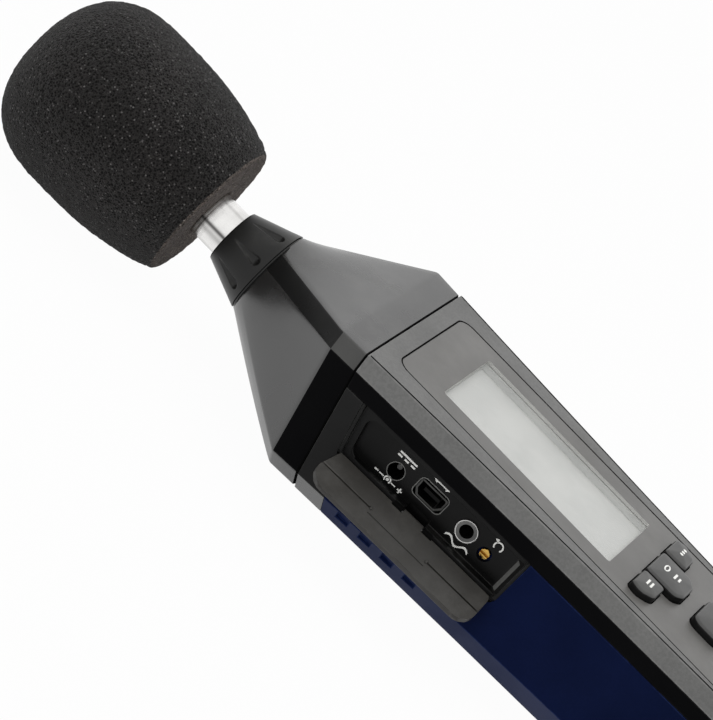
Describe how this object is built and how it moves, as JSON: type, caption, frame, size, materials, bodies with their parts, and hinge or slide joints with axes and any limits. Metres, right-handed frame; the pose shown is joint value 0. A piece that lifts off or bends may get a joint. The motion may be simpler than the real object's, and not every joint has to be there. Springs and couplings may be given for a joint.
{
  "type": "sound level meter",
  "caption": "Handheld sound level meter: tapered case with display, keys and a side port recess with hinged flap, faceted nose and a foam windscreen on the microphone.",
  "frame": {"origin": "mouth of the tripod thread in the middle of the flat back", "axes": "+X to the right across the display, +Y towards the microphone, +Z out of the display, away from the flat back"},
  "size_m": [0.0859, 0.278, 0.05],
  "materials": {
    "case_grey": "fine moulded grain, satin",
    "case_dark": "fine moulded grain",
    "grip_blue": "soft satin overmould",
    "nose_dark": "satin, flat facets",
    "collar_black": "satin",
    "steel": "turned and polished",
    "foam": "open-cell foam",
    "label_film": "printed film, satin",
    "window_clear": "clear flat pane",
    "frame_light": "satin",
    "display_cell": "blank reflective display",
    "board_green": "solder mask",
    "mat_rubber": "moulded silicone",
    "key_grey": "moulded silicone, satin",
    "port_black": "moulded, satin",
    "brass": "turned",
    "trimmer_blue": "moulded",
    "flap_grey": "soft moulded, satin",
    "battery_can": "plain printed can"
  },
  "bodies": {
    "meter": {"front_case": "case_grey", "rear_case": "case_dark", "grip_skin": "grip_blue", "grip_fore": "grip_blue", "nose_cap": "nose_dark", "mic_collar": "collar_black", "mic_tube": "steel", "mic_capsule": "steel", "mic_grid": "steel", "supply_pin": "steel", "usb_shell": "steel", "output_ring": "steel", "flap_pin": "steel", "case_screws": "steel", "label_panel": "label_film", "display_window": "window_clear", "display_frame": "frame_light", "display_glass": "display_cell", "main_board": "board_green", "preamp_board": "board_green", "port_board": "board_green", "keypad_mat": "mat_rubber", "port_bezel": "port_black", "supply_jack": "port_black", "usb_tongue": "port_black", "output_jack": "port_black", "battery_clip": "port_black", "tripod_insert": "brass", "trimmer_body": "trimmer_blue", "battery": "battery_can"},
    "windscreen": {"windscreen": "foam"},
    "flap": {"port_flap": "flap_grey"},
    "trimmer": {"trimmer_screw": "brass"},
    "battery_door": {"battery_cover": "grip_blue", "cover_screw": "steel"},
    "key_top_left": {"key_top_left": "key_grey"},
    "key_top_middle": {"key_top_middle": "key_grey"},
    "key_top_right": {"key_top_right": "key_grey"},
    "key_middle": {"key_middle": "key_grey"},
    "key_low_left": {"key_low_left": "key_grey"},
    "key_low_middle": {"key_low_middle": "key_grey"},
    "key_low_right": {"key_low_right": "key_grey"}
  },
  "joints": [
    {"name": "windscreen_pull", "type": "slide", "parent": "meter", "child": "windscreen", "axis": [0, 1, 0], "range_m": [0, 0.035]},
    {"name": "flap_hinge", "type": "hinge", "parent": "meter", "child": "flap", "pos_m": [-0.03433, 0.04052, 0.0165], "axis": [-0.0726, 0.9974, 0], "range_deg": [0, 114]},
    {"name": "trimmer_turn", "type": "hinge", "parent": "meter", "child": "trimmer", "pos_m": [-0.02736, 0.02338, 0.0215], "axis": [0.9974, 0.0726, 0], "range_deg": [-135, 135]},
    {"name": "battery_door_lift", "type": "slide", "parent": "meter", "child": "battery_door", "axis": [0, 0, -1], "range_m": [0, 0.025]},
    {"name": "key_top_left_press", "type": "slide", "parent": "meter", "child": "key_top_left", "axis": [0, 0, -1], "range_m": [0, 0.0008], "stiffness_N_per_m": 1500, "springref_m": -0.0002},
    {"name": "key_top_middle_press", "type": "slide", "parent": "meter", "child": "key_top_middle", "axis": [0, 0, -1], "range_m": [0, 0.0008], "stiffness_N_per_m": 1500, "springref_m": -0.0002},
    {"name": "key_top_right_press", "type": "slide", "parent": "meter", "child": "key_top_right", "axis": [0, 0, -1], "range_m": [0, 0.0008], "stiffness_N_per_m": 1500, "springref_m": -0.0002},
    {"name": "key_middle_press", "type": "slide", "parent": "meter", "child": "key_middle", "axis": [0, 0, -1], "range_m": [0, 0.0008], "stiffness_N_per_m": 1500, "springref_m": -0.0002},
    {"name": "key_low_left_press", "type": "slide", "parent": "meter", "child": "key_low_left", "axis": [0, 0, -1], "range_m": [0, 0.0008], "stiffness_N_per_m": 1500, "springref_m": -0.0002},
    {"name": "key_low_middle_press", "type": "slide", "parent": "meter", "child": "key_low_middle", "axis": [0, 0, -1], "range_m": [0, 0.0008], "stiffness_N_per_m": 1500, "springref_m": -0.0002},
    {"name": "key_low_right_press", "type": "slide", "parent": "meter", "child": "key_low_right", "axis": [0, 0, -1], "range_m": [0, 0.0008], "stiffness_N_per_m": 1500, "springref_m": -0.0002}
  ]
}
